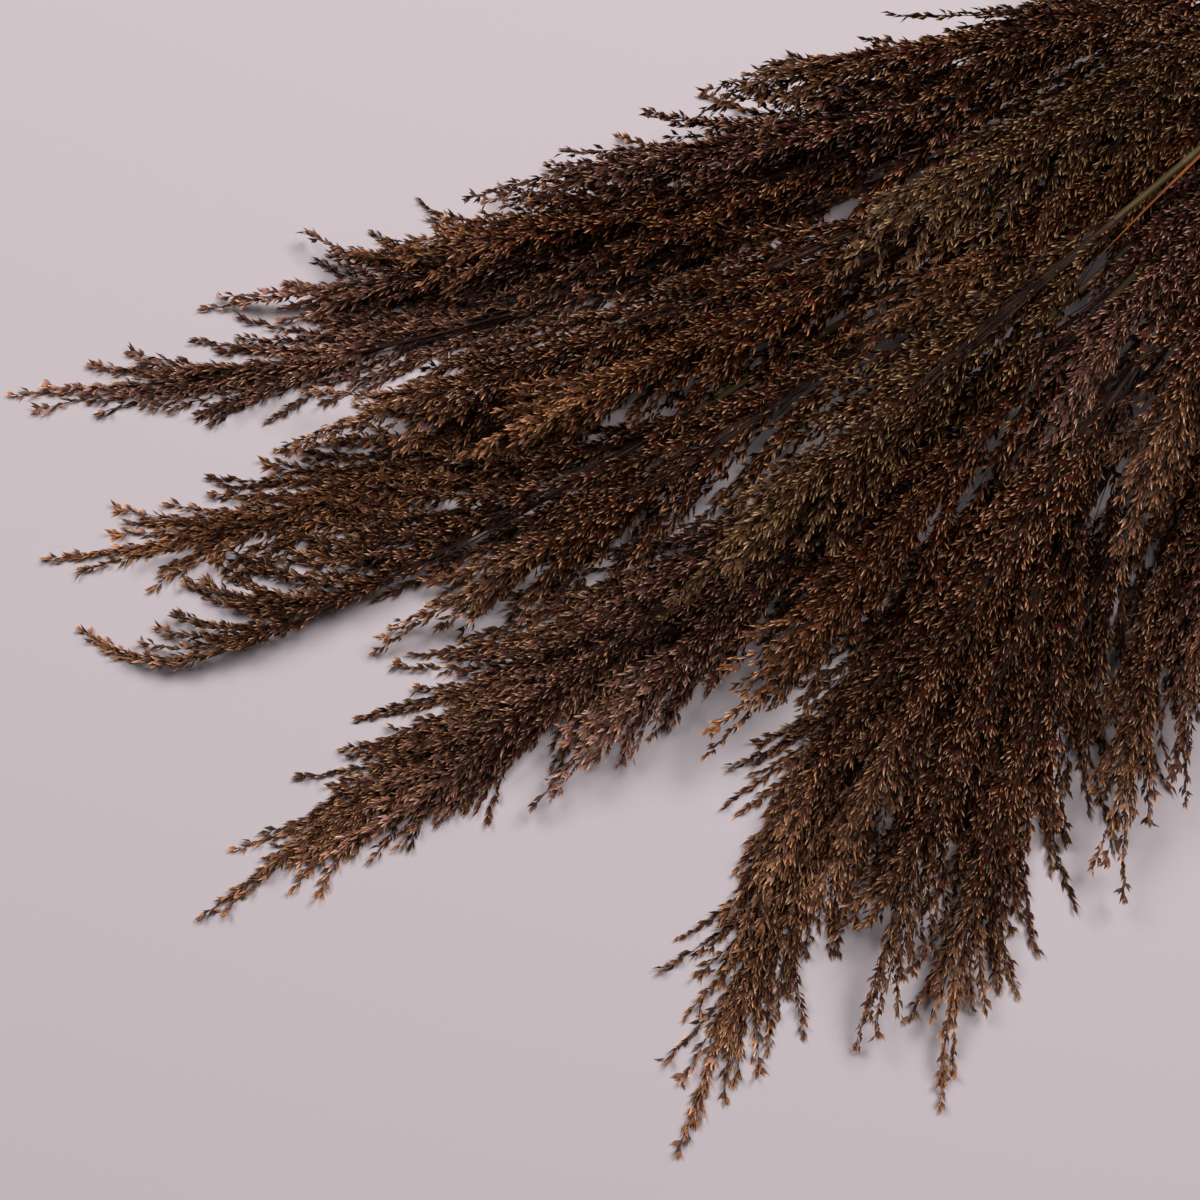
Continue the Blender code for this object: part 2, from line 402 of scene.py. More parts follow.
def multiply(tree, first, second, operation="MULTIPLY"):
    node = add_node(tree, "ShaderNodeMath", operation=operation)
    link(tree, (first, node.inputs[0]), (second, node.inputs[1]))
    return node.outputs[0]


def larger(tree, first, second):
    return multiply(tree, first, second, "MAXIMUM")


def mix_colours(tree, factor, first, second, blend="MIX"):
    """The output of a colour mix, whose three inputs are numbers, colours or other outputs."""
    node = add_node(tree, "ShaderNodeMix", data_type="RGBA", blend_type=blend)
    sockets = [socket for socket in node.inputs if socket.enabled]
    for socket, value in zip(sockets, (factor, first, second)):
        if isinstance(value, (int, float)):
            socket.default_value = value
        elif isinstance(value, tuple):
            socket.default_value = (*value, 1.0)
        else:
            link(tree, (value, socket))
    return next(socket for socket in node.outputs if socket.enabled)


def scale_colour(tree, colour, factor):
    """The output of a colour, or three coordinates, times a factor."""
    node = add_node(tree, "ShaderNodeVectorMath", operation="SCALE")
    link(tree, (colour, node.inputs[0]), (factor, node.inputs["Scale"]))
    return node.outputs[0]


def noise(tree, places, scale, detail=2.0, stretch=(1.0, 1.0, 1.0)):
    """The factor of a noise, on places that may be stretched first."""
    mapping = add_node(tree, "ShaderNodeMapping")
    mapping.inputs["Scale"].default_value = stretch
    node = add_node(tree, "ShaderNodeTexNoise")
    node.inputs["Scale"].default_value = scale
    node.inputs["Detail"].default_value = detail
    link(tree, (places, mapping.inputs["Vector"]), (mapping.outputs["Vector"], node.inputs["Vector"]))
    return node.outputs["Fac"]


def object_places(tree):
    return add_node(tree, "ShaderNodeTexCoord").outputs["Object"]


def add_bump(tree, shader, height, strength, distance):
    bump = add_node(tree, "ShaderNodeBump")
    bump.inputs["Strength"].default_value = strength
    bump.inputs["Distance"].default_value = distance
    link(tree, (height, bump.inputs["Height"]), (bump.outputs["Normal"], shader.inputs["Normal"]))


def new_group(name, inputs, outputs):
    """A node group, with the name and kind of each input and output."""
    group = bpy.data.node_groups.new(name, "ShaderNodeTree")
    for in_out, sockets in (("INPUT", inputs), ("OUTPUT", outputs)):
        for label, kind in sockets.items():
            group.interface.new_socket(label, in_out=in_out, socket_type="NodeSocket" + kind)
    return group, group.nodes.new("NodeGroupInput"), group.nodes.new("NodeGroupOutput")


# %% Husk pattern
# Painted light, as shades against the tip's colour of a husk lit through and from the table below,
# then the shade of a pale husk, and where the light is painted: towards a plume's end, less so high
# above the table, and a little in the lowest layer
PAINTED_LIGHT_FOOT = (0.335, 0.25, 0.44)
PAINTED_LIGHT_MIDDLE = (0.66, 0.58, 0.62)
PAINTED_LIGHT_TIP = (1.56, 1.55, 1.40)
PALE_TINT = (1.1, 1.25, 1.5)
PLUME_END = (0.66, 1.0)
HIGH_UP = (0.018, 0.050, 1.0, 0.45)
LOWEST_LAYER = (0.006, 0.024, 0.2, 0.0)
husk_group, given, result = new_group(
    "husk pattern",
    {"Foot": "Color", "Middle": "Color", "Tip": "Color"},
    {"Color": "Color", "Roughness": "Float", "Height": "Float"},
)
tree = husk_group
along, tone, edge, rim = (value_of(tree, name) for name in ("along", "tone", "edge", "rim"))
places = object_places(tree)
veins = noise(tree, places, 1400)
patches = noise(tree, places, 14)
to_middle = step_between(tree, along, 0.05, 0.5)
keel = step_between(tree, edge, 0.15, 0.6, 1.0, 0.0)
to_tip = multiply(tree, step_between(tree, along, 0.3, 0.9), keel)
height = add_node(tree, "ShaderNodeSeparateXYZ")
link(tree, (places, height.inputs[0]))
# Painted light: husks towards a plume's end and low over the table are lightened towards shades of the
# tip's colour, for light shining through them and bounced up from the table
near_table = step_between(tree, height.outputs["Z"], *HIGH_UP)
painted_light_end = multiply(tree, step_between(tree, rim, *PLUME_END), near_table)
painted_light_mask = larger(tree, painted_light_end, step_between(tree, height.outputs["Z"], *LOWEST_LAYER))
foot, middle, tip = (
    mix_colours(
        tree, painted_light_mask, given.outputs[label],
        mix_colours(tree, 1.0, given.outputs["Tip"], tint, "MULTIPLY"),
    )
    for label, tint in (("Foot", PAINTED_LIGHT_FOOT), ("Middle", PAINTED_LIGHT_MIDDLE), ("Tip", PAINTED_LIGHT_TIP))
)
lower = mix_colours(tree, to_middle, foot, middle)
whole = mix_colours(tree, to_tip, lower, tip)
pale = step_between(tree, tone, 1.0, 1.5)
whole = mix_colours(tree, pale, whole, PALE_TINT, "MULTIPLY")
light = step_between(tree, tone, 0.0, 1.0, 0.3, 1.8)
light = multiply(tree, light, step_between(tree, patches, 0.3, 0.7, 0.8, 1.2))
light = multiply(tree, light, step_between(tree, veins, 0.3, 0.7, 0.85, 1.15))
link(
    tree,
    (scale_colour(tree, whole, light), result.inputs["Color"]),
    (step_between(tree, tone, 0.0, 1.0, 0.5, 0.75), result.inputs["Roughness"]),
    (veins, result.inputs["Height"]),
)


# %% Plume finishes
def plume_finish(name, foot, middle, tip):
    material, tree, shader = new_material(name, gloss=0.04)
    pattern = add_node(tree, "ShaderNodeGroup")
    pattern.node_tree = husk_group
    for socket, colour in zip(pattern.inputs, (foot, middle, tip)):
        socket.default_value = (*colour, 1)
    add_bump(tree, shader, pattern.outputs["Height"], 0.3, 0.0002)
    link(
        tree,
        (pattern.outputs["Color"], shader.inputs["Base Color"]),
        (pattern.outputs["Roughness"], shader.inputs["Roughness"]),
    )
    return material


FINISH_COLOURS = {
    "umber_husks": ((0.0075, 0.0014, 0.0008), (0.038, 0.0085, 0.0034), (0.452, 0.240, 0.124)),
    "russet_husks": ((0.008, 0.0014, 0.0006), (0.042, 0.0085, 0.0028), (0.458, 0.224, 0.102)),
    "plum_husks": ((0.008, 0.0018, 0.0018), (0.037, 0.0095, 0.0062), (0.432, 0.232, 0.144)),
    "olive_husks": ((0.0075, 0.0020, 0.0009), (0.038, 0.0112, 0.0046), (0.418, 0.250, 0.114)),
}
umber, russet, plum, olive = (plume_finish(name, *colours) for name, colours in FINISH_COLOURS.items())


# %% Wire and rachis finishes
wire_finish, tree, shader = new_material("branch_wire", 0.6, 0.12)
mottle = step_between(tree, noise(tree, object_places(tree), 90), 0.35, 0.65)
strand = step_between(tree, value_of(tree, "tone"), 0.0, 1.0, 0.45, 1.5)
wire_colour = mix_colours(tree, mottle, (0.015, 0.0065, 0.0055), (0.050, 0.023, 0.016))
link(tree, (scale_colour(tree, wire_colour, strand), shader.inputs["Base Color"]))

rachis_finish, tree, shader = new_material("rachis", 0.55, 0.2)
along = value_of(tree, "along")
past_foot = step_between(tree, along, 0.05, 0.35)
rachis_colour = mix_colours(tree, past_foot, (0.055, 0.034, 0.016), (0.026, 0.011, 0.009))
past_joint = step_between(tree, along, 0.015, 0.06)
joint_colour = mix_colours(tree, past_joint, (0.085, 0.027, 0.032), rachis_colour)
streaks = noise(tree, object_places(tree), 60, 3.0, (0.3, 3.0, 3.0))
streaked = scale_colour(tree, joint_colour, step_between(tree, streaks, 0.3, 0.7, 0.6, 1.35))
link(tree, (streaked, shader.inputs["Base Color"]))

# %% [markdown]
# ## The path of each reed
#
# The frame's solids give the way that each reed lies. A stem solid is a run of rings, and the
# middle of each is on the reed's path. A plume solid has rings too, but some are flat on the table,
# so a smooth curve fitted through all its corners is a better middle. The two are joined in one
# smooth curve from the cut end to the plume's tip.

# %% Paths from the frame
RING_GAP = 0.0015
PATH_POINTS = 160
PLUME_FIT_SHARES = (0.12, 0.24, 0.36, 0.5, 0.64, 0.76, 0.88, 1.0)


def corners_of(node):
    """The corners of a CAD node, each once."""
    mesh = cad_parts[node].data
    corners = np.empty(len(mesh.vertices) * 3, np.float32)
    mesh.vertices.foreach_get("co", corners)
    return np.unique(corners.reshape(-1, 3).round(6), axis=0).astype(float)


def ring_middles(node):
    """The middles of a solid's rings of corners, from +X to -X."""
    corners = corners_of(node)
    corners = corners[np.argsort(-corners[:, 0])]
    breaks = np.flatnonzero(np.diff(-corners[:, 0]) > RING_GAP) + 1
    return np.array([ring.mean(axis=0) for ring in np.split(corners, breaks)])


def fitted_middle(node, shares, ring_size=10):
    """Points along the middle of a plume solid, at shares of its length from its foot."""
    corners = corners_of(node)
    order = np.argsort(corners[:, 0])
    tip_x = corners[order[:ring_size], 0].mean()
    foot_x = corners[order[-ring_size:], 0].mean()
    x = foot_x + (tip_x - foot_x) * np.array(shares)
    y, z = (np.polyval(np.polyfit(corners[:, 0], corners[:, k], 3), x) for k in (1, 2))
    return np.stack([x, y, z], axis=1)


def run_of(points):
    """The distance along a path at each of its points."""
    return np.concatenate([[0], np.cumsum(np.linalg.norm(np.diff(points, axis=0), axis=1))])


def smooth_through(points, count):
    """A smooth curve through some points, as many evenly spaced ones."""
    run = run_of(points)
    slopes = np.gradient(points, run, axis=0)
    wanted = np.linspace(0, run[-1], count)
    index = np.clip(np.searchsorted(run, wanted, side="right") - 1, 0, len(run) - 2)
    gap = (run[index + 1] - run[index])[:, None]
    t = (wanted - run[index])[:, None] / gap
    return (
        (1 + 2 * t) * (1 - t) ** 2 * points[index]
        + t * (1 - t) ** 2 * gap * slopes[index]
        + t * t * (3 - 2 * t) * points[index + 1]
        + t * t * (t - 1) * gap * slopes[index + 1]
    )


def values_at(wanted, places, values):
    """Rows of three values, each read between the two places next to the wanted one."""
    return np.stack([np.interp(wanted, places, values[:, k]) for k in range(3)], axis=1)


def stretch_of(points, start, end, count):
    """Evenly spaced points of the stretch of a path between two distances along it."""
    return values_at(np.linspace(start, end, count), run_of(points), points)


FOOT_OVERLAP = 0.022
PLUME_POINTS = 48
STEM_POINTS = 90
# How far some plumes' paths go on beyond the tip of their solid, or stop short of it
EXTRA_REACH = {1: 0.004, 3: -0.009, 4: -0.012, 5: 0.018, 6: 0.040, 9: -0.014, 21: 0.015}
stem_paths, plume_paths = {}, {}
for number, (stem, plume) in enumerate(zip(stem_nodes, plume_nodes), 1):
    middles = ring_middles(stem)
    middles_to_tip = np.concatenate([middles, fitted_middle(plume, PLUME_FIT_SHARES)])
    reed = smooth_through(middles_to_tip, PATH_POINTS)
    beyond = EXTRA_REACH.get(number, 0.0)
    onwards = reed[-1] + unit(reed[-1] - reed[-6]) * max(beyond, 0.0001)
    reed = np.concatenate([reed, [onwards]])
    run = run_of(reed)
    foot = np.interp(-middles[-1, 0], -reed[:, 0], run)
    stem_paths[stem] = stretch_of(reed, 0, foot, STEM_POINTS), foot
    plume_paths[plume] = stretch_of(reed, foot - FOOT_OVERLAP, run[-1] + min(beyond, 0.0), PLUME_POINTS)
print("stems:", [round(length, 3) for _, length in stem_paths.values()])

# %% [markdown]
# ## Laying the sprays
#
# A spray leaves the rachis forwards and outwards, then bends down under its own weight until it
# lies on what is below: the table, or the sprays of the plumes laid before. A height map of the
# pile keeps track of that. The plumes are laid from the lowest row to the highest.

# %% The pile
CELL = 0.006
PILE_SHARE = 0.55
PILE_MARGIN = 0.08
HEIGHT_ABOVE_FRAME = 0.006
MAX_HEIGHT = CAD_HIGH[2] + HEIGHT_ABOVE_FRAME


class Pile:
    """How high the pile already is, on a grid of cells over the table."""

    def __init__(self):
        self.low = CAD_LOW[:2] - PILE_MARGIN
        counts = np.ceil((CAD_HIGH[:2] + PILE_MARGIN - self.low) / CELL).astype(int)
        self.heights = np.zeros(counts)

    def cells(self, points):
        index = ((points[..., :2] - self.low) / CELL).astype(int)
        return tuple(np.clip(index[..., k], 0, self.heights.shape[k] - 1) for k in (0, 1))

    def height(self, points):
        return self.heights[self.cells(points)]

    def lay(self, points):
        """Raises the pile to its new height, and levels it a little as sprays settle."""
        laid = np.zeros_like(self.heights)
        np.maximum.at(laid, self.cells(points), points[..., 2] * PILE_SHARE)
        for _ in range(2):
            around = sum(np.roll(laid, step, axis) for step in (-1, 1) for axis in (0, 1)) / 4
            laid = np.maximum(laid, around)
        self.heights = np.maximum(self.heights, laid)


# %% Spray paths
# A pair is a value at the plume's foot and the one at its tip, or a smallest and a largest
WHORLS = 17
SPRAYS_OF_LONG_REED = 84
SPRAYS_OF_SHORT_REED = 98
LONG_REED = 0.80
SPRAY_STEPS = 14
SPRAY_REACH = (0.165, 0.072)
BARE_SHARE = 0.36
LAST_WHORL = 0.78
LEANS = (17, 8)
LEAN_SPREADS = (8, 4)
LEAN_AT_START = 0.45
TOP_GAP = 10
WIDEST_TURN = 125
LENGTH_SPREAD = (0.72, 1.08)
BARE_SPREAD = (0.25, 1.15)
FLYAWAY_SHARE = 0.12
FLYAWAY_LEAN = 9
# How fast sprays turn outwards from the fan's middle, in radians a metre
DROOP_RIGHT = 5.5
DROOP_LEFT = 2.0
DRIFT_SPREAD = 1.3
WEIGHTS = (4.0, 9.0)
STEEPEST_CLIMB = 0.35
SPIKELET_CLEARANCE = 0.0018
# Share, length, bare length and lean of the three sprays that end a plume
TERMINAL_SPRAYS = (0.76, 0.78, 0.80), (0.082, 0.080, 0.086), (0.012, 0.010, 0.008), (0.08, 0.06, 0.03)


def spray_plan(count, random):
    """Place on the rachis, length, bare length and direction of every spray of one plume."""
    whorl = np.arange(count) * WHORLS // count
    share = np.clip((whorl + random.uniform(-0.25, 0.25, count)) / WHORLS, 0.0, 1.0)
    share = LAST_WHORL * share
    length = between(SPRAY_REACH, (share / LAST_WHORL) ** 1.1)
    length *= random.uniform(*LENGTH_SPREAD, count)
    bare = length * BARE_SHARE * (1 - 0.8 * share) * random.uniform(*BARE_SPREAD, count)
    lean = between(LEANS, share) + random.uniform(-1, 1, count) * between(LEAN_SPREADS, share)
    flyaway = random.random(count) < FLYAWAY_SHARE
    lean = np.radians(lean + FLYAWAY_LEAN * flyaway * np.minimum(4 * share, 1.0))
    turn = random.uniform(TOP_GAP * (1 - share), WIDEST_TURN, count)
    around = np.radians(90 + turn * random.choice((-1, 1), count))
    share[-3:], length[-3:], bare[-3:], lean[-3:] = TERMINAL_SPRAYS
    return share, length, bare, lean, around


def spray_paths(path, plan, pile, droop, turning, random):
    """Points of every spray (spray, step, xyz), bent by weight and laid on the pile."""
    share, length, _, lean, around = plan
    tangents = unit(np.gradient(path, axis=0))
    position = share * (len(path) - 1)
    steps = np.arange(len(path))
    base = values_at(position, steps, path)
    rachis = unit(values_at(position, steps, tangents))
    side = unit(np.cross(rachis, (0, 0, 1)))
    upward = np.cross(side, rachis)
    outward = side * np.cos(around)[:, None] + upward * np.sin(around)[:, None]
    first_lean = LEAN_AT_START * lean[:, None]
    heading = rachis * np.cos(first_lean) + outward * np.sin(first_lean)
    spread = outward * (2 * (1 - LEAN_AT_START) * lean / length)[:, None]
    weight = random.uniform(*WEIGHTS, len(share))[:, None]
    drift = random.normal(droop + turning * share, DRIFT_SPREAD)[:, None]
    step = (length / (SPRAY_STEPS - 1))[:, None]
    points = [base]
    for _ in range(SPRAY_STEPS - 1):
        pull = spread + side * drift - np.array((0, 0, 1.0)) * weight
        heading = unit(heading + pull * step)
        after = points[-1] + heading * step
        floor = pile.height(after) + SPIKELET_CLEARANCE
        resting = after[:, 2] < floor
        climbed = np.minimum(floor, points[-1][:, 2] + STEEPEST_CLIMB * step[:, 0])
        after[:, 2] = np.where(resting, climbed, after[:, 2])
        heading = unit(np.where(resting[:, None], after - points[-1], heading))
        after[:, 2] = np.clip(after[:, 2], SPIKELET_CLEARANCE, MAX_HEIGHT)
        points.append(after)
    return np.stack(points, axis=1)


# %% [markdown]
# ## A plume
#
# Each spray takes the model whose length is nearest to the part of its path that carries
# spikelets, and the model's corners are carried from the straight line to the path. Its wire and
# the rachis are tubes with three and five sides. The bare wires of the lower sprays lie along the
# rachis as dark streaks, so each plume gets eighteen more wires there.


# %% Bending and tubes
TUBE_CLEARANCE = 0.0003
TOWARDS_Y = np.array((0, 1.0, 0))


def path_frames(points, across):
    """Sideways and upward directions along a path, kept steady by a direction across it."""
    forward = unit(np.gradient(points, axis=0))
    sideways = unit(across - forward * (forward * across).sum(axis=1, keepdims=True))
    return sideways, np.cross(forward, sideways)


def bend(corners, points, across, start, length):
    """Carries corners from the +X axis onto a path, from a distance along it."""
    sideways, upward = path_frames(points, across)
    where = (corners[:, 0] + start) / length * (len(points) - 1)
    index = np.clip(where.astype(int), 0, len(points) - 2)
    blend = (where - index)[:, None]

    def at(values):
        return values[index] + (values[index + 1] - values[index]) * blend

    return at(points) + at(sideways) * corners[:, 1:2] + at(upward) * corners[:, 2:3]


def add_tube(sheaf, points, across, radius, end_radius, sides, finish, tone=0.5):
    """A closed tube along a path, with a radius that changes evenly to the one at its end."""
    sideways, upward = path_frames(points, across)
    radii = np.linspace(radius, end_radius, len(points))[:, None]
    angles = np.arange(sides) * 2 * math.pi / sides
    across_part = np.cos(angles)[None, :, None] * (sideways * radii)[:, None]
    upward_part = np.sin(angles)[None, :, None] * (upward * radii)[:, None]
    corners = (points[:, None] + across_part + upward_part).reshape(-1, 3)
    corners[:, 2] = np.maximum(corners[:, 2], TUBE_CLEARANCE)
    ring = np.arange(sides)
    after = (ring + 1) % sides
    first = (np.arange(len(points) - 1) * sides)[:, None]
    quads = np.stack([first + ring, first + after, first + sides + after, first + sides + ring], axis=-1)
    quads = quads.reshape(-1, 4)
    last = (len(points) - 1) * sides
    caps = [(0, k + 1, k) for k in range(1, sides - 1)]
    caps += [(last, last + k, last + k + 1) for k in range(1, sides - 1)]
    triangles = np.concatenate([quads[:, [0, 1, 2]], quads[:, [0, 2, 3]], np.array(caps)])
    along = np.repeat(np.linspace(0, 1, len(points)), sides)
    sheaf.add(corners, triangles, finish, along=along, edge=0.0, tone=tone, rim=0.0)


# %% Plume builder
RACHIS_RADIUS = 0.0018
RACHIS_TIP_RADIUS = 0.0004
WIRE_TIP_RADIUS = 0.4 * WIRE_RADIUS
RACHIS_SHARE = 0.82
PALE_SHARE = 0.07
PALE_TONE = 1.5
BODY_WIDENING = 0.22
NEARLY_UP = (0.05, 0.02, 1.0)
HUSK_CLEARANCE = 0.0002
BUNDLE_WIRES = 18
BUNDLE_POINTS = 8
BUNDLE_STARTS = (0.0, 0.28)
BUNDLE_RUNS = (0.20, 0.40)
BUNDLE_HALF_WIDTH = 0.0050
BUNDLE_THICKNESS = 0.0045
BUNDLE_WIRE_RADIUS = 0.00042


def add_spray(sheaf, points, share, length, bare, plume_length, random):
    """One spray on its path: the nearest model, turned, stretched to fit and bent, and its wire."""
    carried = length - bare
    choice = int(np.argmin([abs(carried - known) for known in SPRAY_LENGTHS]))
    corners, triangles, finish, values = spray_models[choice]
    across = unit(np.cross(unit(points[-1] - points[0]), NEARLY_UP))
    turn = random.uniform(0, 2 * math.pi)
    turned = corners @ np.array(Matrix.Rotation(turn, 3, "X"))
    turned[:, 0] *= carried / SPRAY_LENGTHS[choice]
    turned[:, 1:] *= 1 + BODY_WIDENING * (1 - share)
    rim = share + (bare + turned[:, 0]) / plume_length
    bent = bend(turned, points, across, bare, length)
    bent[:, 2] = np.maximum(bent[:, 2], HUSK_CLEARANCE)
    tone = 0.6 * values["tone"] + 0.4 * random.random()
    tone = np.where(values["tone"] > 1 - PALE_SHARE, PALE_TONE, tone)
    sheaf.add(bent, triangles, finish, along=values["along"], edge=values["edge"], tone=tone, rim=rim)
    wire = np.concatenate([points[:-1:4], points[-1:]])
    add_tube(sheaf, wire, across, WIRE_RADIUS, WIRE_TIP_RADIUS, 3, WIRE)


def add_bundle(sheaf, path, random):
    """The bare wires that lie close along the rachis, each leaving it slowly and ending in the plume."""
    tangents = unit(np.gradient(path, axis=0))
    side = unit(np.cross(tangents, (0, 0, 1)))
    upward = np.cross(side, tangents)
    for _ in range(BUNDLE_WIRES):
        first = int(random.uniform(*BUNDLE_STARTS) * len(path))
        last = min(first + int(random.uniform(*BUNDLE_RUNS) * len(path)), len(path) - 5)
        picked = np.linspace(first, last, BUNDLE_POINTS).astype(int)
        away = np.linspace(0.25, 1.0, BUNDLE_POINTS) + random.normal(0, 0.04, BUNDLE_POINTS)
        aside = random.uniform(-BUNDLE_HALF_WIDTH, BUNDLE_HALF_WIDTH)
        above = random.uniform(0.1, 1.0) * BUNDLE_THICKNESS
        points = path[picked] + (side[picked] * aside + upward[picked] * above) * away[:, None]
        radii = BUNDLE_WIRE_RADIUS, 0.5 * BUNDLE_WIRE_RADIUS
        add_tube(sheaf, points, TOWARDS_Y, *radii, 3, WIRE, random.random())


def build_plume(number, node, pile):
    random = np.random.default_rng(99 + number)
    path = plume_paths[node]
    reach = math.dist(path[-1], BAND_CENTRE)
    count = SPRAYS_OF_LONG_REED if reach > LONG_REED else SPRAYS_OF_SHORT_REED
    plan = spray_plan(round(count * of_plume(number, FULLNESS, 1.0)), random)
    outwards = (path[-1, 1] - BAND_CENTRE.y) / (BAND_CENTRE.x - path[-1, 0])
    droop = outwards * (DROOP_LEFT if outwards > 0 else DROOP_RIGHT)
    paths = spray_paths(path, plan, pile, droop, TURNING.get(number, 0.0), random)
    sheaf = Sheaf()
    plume_length = run_of(path)[-1]
    for points, share, length, bare in zip(paths, *plan[:3]):
        add_spray(sheaf, points, share, length, bare, plume_length, random)
    rachis = path[: int(RACHIS_SHARE * len(path)) : 2]
    add_tube(sheaf, rachis, TOWARDS_Y, RACHIS_RADIUS, RACHIS_TIP_RADIUS, 5, RACHIS)
    add_bundle(sheaf, path, random)
    pile.lay(paths[:, 3:])
    husks = of_plume(number, FINISHES, umber)
    piece = make_mesh(node.replace("plume", "reed_plume"), sheaf, (husks, wire_finish, rachis_finish))
    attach(piece, "root")
    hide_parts(node)
    return piece


# %% All plumes
# What sets some plumes apart, by number: how fast their sprays turn aside as well, their share of
# the usual number of sprays, and their finish
TURNING = {5: 4.0, 6: 17.0, 7: 5.0, 10: 3.5, 18: 5.0, 21: -5.0, 25: -9.0}
FULLNESS = {0.84: (1,), 1.1: (8, 9, 13, 14, 16, 18, 19), 1.12: (3,), 1.15: (4, 22), 1.3: (21, 25)}
FINISHES = {plum: (1, 5, 7, 13, 16, 20, 23), russet: (2, 10, 17, 18, 22, 24), olive: (25, 26)}


def of_plume(number, choices, usual):
    return next((choice for choice, numbers in choices.items() if number in numbers), usual)


pile = Pile()
plumes = [build_plume(number, node, pile) for number, node in enumerate(plume_nodes, 1)]
face_counts = [len(plume.data.polygons) for plume in plumes]
print("plumes:", sum(face_counts), "triangles, most", max(face_counts))

# %% [markdown]
# ## Stems
#
# A reed's stem is hollow. It has a joint every 12 cm or so, and from each joint a dry sheath wraps
# it for two thirds of the way to the next. So one length from joint to joint is modelled along +X,
# by extruding a circle again and again: the ridge of the joint, the sheath, the step at its mouth
# and the bare stem. The cut end is a length of its own, with a deep hole. Both are copied along
# each reed's path, thinner towards the plume.

# %% Stem models
STEM_SIDES = 10
JOINT_FOOT = 0.86
# How far on each extrusion goes, and how wide it then is against the one before
JOINT_TO_JOINT = (
    (0.0001, 1.16), (0.010, 1.07), (0.018, 1.0), (0.014, 0.94),
    (0.290, 1.0), (0.310, 0.985), (0.006, 0.93), (0.352, 1.0),
)
CUT_RADIUS = 0.93
HOLE_SHARE = 0.66
HOLE_BOTTOM = 0.9
HOLE_DEPTH = 0.22


def extrude_on(forward, size):
    """Extrudes the selected end of a round length along +X, and scales it round the X axis."""
    bpy.ops.mesh.extrude_region_move(TRANSFORM_OT_translate={"value": (forward, 0, 0)})
    bpy.ops.transform.resize(value=(1, size, size), center_override=(0, 0, 0))


def start_round(radius):
    """A filled circle round the X axis, selected in edit mode."""
    facing_x = (0, math.pi / 2, 0)
    bpy.ops.mesh.primitive_circle_add(
        vertices=STEM_SIDES, radius=radius, fill_type="NGON", rotation=facing_x
    )
    bpy.ops.object.transform_apply(location=False, rotation=True, scale=False)
    bpy.ops.object.mode_set(mode="EDIT")
    bpy.ops.mesh.select_all(action="SELECT")


def end_modelling():
    bpy.ops.mesh.select_all(action="SELECT")
    bpy.ops.mesh.normals_make_consistent(inside=False)
    bpy.ops.object.mode_set(mode="OBJECT")
    return bpy.context.object


def model_joint_length():
    """From joint to joint, 1 long and 1 in radius at its sheath."""
    start_round(JOINT_FOOT)
    for forward, size in JOINT_TO_JOINT:
        extrude_on(forward, size)
    return end_modelling()


def model_cut_length():
    """From the cut end to the first joint, 1 long, with a hole in its end."""
    start_round(HOLE_SHARE * HOLE_BOTTOM)
    bpy.ops.transform.translate(value=(HOLE_DEPTH, 0, 0))
    extrude_on(-HOLE_DEPTH, 1 / HOLE_BOTTOM)
    extrude_on(0, CUT_RADIUS / HOLE_SHARE)
    extrude_on(1.0, 1.0)
    return end_modelling()


def in_order(corners, triangles):
    """The same mesh with its corners and triangles sorted, because an extrusion's own order varies."""
    order = np.lexsort(corners.T)
    triangles = np.argsort(order)[triangles]
    first = triangles.argmin(axis=1)[:, None]
    triangles = np.take_along_axis(triangles, (first + np.arange(3)) % 3, axis=1)
    return corners[order], triangles[np.lexsort(triangles.T)]


joint_length = in_order(*take_mesh(model_joint_length()))
cut_length = in_order(*take_mesh(model_cut_length()))
print("stem lengths:", len(joint_length[1]), "and", len(cut_length[1]), "faces")

# %% [markdown]
# ## Fibres
#
# Stems and leaf blades share a node group of fine fibres along them. The pieces are curved, so each
# corner keeps its place from before it was bent, in an attribute called straight, and the fibres
# are a noise on that, stretched along the piece.

# %% Fibre pattern
fibre_group, given, result = new_group(
    "fibre pattern",
    {"Dark": "Color", "Light": "Color", "Fineness": "Float"},
    {"Color": "Color", "Height": "Float"},
)
tree = fibre_group
straight = add_node(tree, "ShaderNodeAttribute", attribute_name="straight").outputs["Vector"]
finer = scale_colour(tree, straight, given.outputs["Fineness"])
fibres = noise(tree, finer, 1.0, 3.0, (25, 1500, 1500))
blotches = noise(tree, finer, 1.0, 3.0, (45, 160, 160))
fibre = step_between(tree, fibres, 0.25, 0.75)
fibre_colour = mix_colours(tree, fibre, given.outputs["Dark"], given.outputs["Light"])
blotch = step_between(tree, blotches, 0.3, 0.7, 0.72, 1.2)
link(
    tree,
    (scale_colour(tree, fibre_colour, blotch), result.inputs["Color"]),
    (fibres, result.inputs["Height"]),
)


def fibre_colours(tree, dark, light, fineness=1.0):
    node = add_node(tree, "ShaderNodeGroup")
    node.node_tree = fibre_group
    node.inputs["Dark"].default_value = (*dark, 1)
    node.inputs["Light"].default_value = (*light, 1)
    node.inputs["Fineness"].default_value = fineness
    return node.outputs["Color"], node.outputs["Height"]


